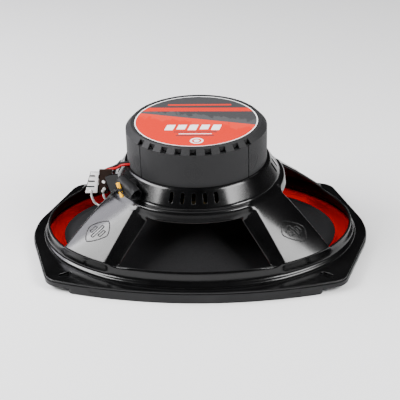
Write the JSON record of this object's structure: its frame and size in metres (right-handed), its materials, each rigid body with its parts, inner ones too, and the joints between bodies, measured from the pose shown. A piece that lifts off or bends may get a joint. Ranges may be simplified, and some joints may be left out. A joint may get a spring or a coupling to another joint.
{
  "type": "coaxial car speaker",
  "caption": "Oval coaxial car loudspeaker: slotted black basket with wide spokes, capped magnet, red surround, paper cone and two tweeters in a pod on a centre post.",
  "frame": {"origin": "centre of the trim ring's front face, which is the lowest plane when the speaker stands on its face", "axes": "+X along the long axis of the oval, +Y along the short axis, +Z out of the back, towards the magnet"},
  "size_m": [0.2384, 0.1692, 0.093],
  "materials": {
    "basket_enamel": "glossy black e-coat",
    "ring_plastic": "satin moulded black",
    "zinc_steel": "zinc plated",
    "ferrite": "sintered dark grey",
    "boot_plastic": "fine moulded grain",
    "label_print": "satin film, printed",
    "red_rubber": "smooth red rubber",
    "cone_paper": "pressed black paper",
    "spider_cloth": "resin-treated cloth",
    "former_aluminium": "thin black-backed foil",
    "coil_copper": "enamelled copper wire",
    "pod_plastic": "satin black",
    "dome_film": "thin silver film",
    "phenolic": "dark brown laminate",
    "tinned_brass": "dull tin plate",
    "sleeve_rubber": "shrunk sleeving",
    "yellow_film": "yellow tape wrap",
    "red_insulation": "smooth PVC"
  },
  "bodies": {
    "frame": {"basket": "basket_enamel", "board_rivets": "tinned_brass", "capacitor": "pod_plastic", "capacitor_lead": "sleeve_rubber", "capacitor_sleeve": "sleeve_rubber", "ferrite_magnet": "ferrite", "film_capacitor": "yellow_film", "magnet_boot": "boot_plastic", "plate_rivets": "zinc_steel", "pod_faceplate": "pod_plastic", "pole_yoke": "zinc_steel", "post_nut": "zinc_steel", "rear_label": "label_print", "spider": "spider_cloth", "super_tweeter_cup": "zinc_steel", "super_tweeter_magnet": "zinc_steel", "super_tweeter_plate": "zinc_steel", "surround": "red_rubber", "terminal_board": "phenolic", "terminal_bracket": "basket_enamel", "terminal_negative": "tinned_brass", "terminal_positive": "tinned_brass", "tinsel_lead_front": "tinned_brass", "tinsel_lead_rear": "tinned_brass", "top_plate": "zinc_steel", "trim_ring": "ring_plastic", "tweeter_cup": "zinc_steel", "tweeter_lead_black": "sleeve_rubber", "tweeter_lead_red": "red_insulation", "tweeter_magnet": "zinc_steel", "tweeter_plate": "zinc_steel", "tweeter_pod": "pod_plastic", "tweeter_post": "zinc_steel"},
    "cone_assembly": {"cone": "cone_paper", "coil_former": "former_aluminium", "voice_coil": "coil_copper", "cone_eyelets": "tinned_brass"},
    "tweeter_diaphragm": {"tweeter_dome": "dome_film"},
    "super_tweeter_diaphragm": {"super_tweeter_dome": "dome_film"}
  },
  "joints": [
    {"name": "cone_travel", "type": "slide", "parent": "frame", "child": "cone_assembly", "axis": [0, 0, 1], "range_m": [-0.003, 0.003], "stiffness_N_per_m": 2500, "deforming": ["surround", "spider", "tinsel_lead_front", "tinsel_lead_rear"]},
    {"name": "tweeter_travel", "type": "slide", "parent": "frame", "child": "tweeter_diaphragm", "axis": [0, 0, 1], "range_m": [-0.0003, 0.0003], "stiffness_N_per_m": 2000},
    {"name": "super_tweeter_travel", "type": "slide", "parent": "frame", "child": "super_tweeter_diaphragm", "axis": [0, 0, 1], "range_m": [-0.0002, 0.0002], "stiffness_N_per_m": 2000}
  ]
}
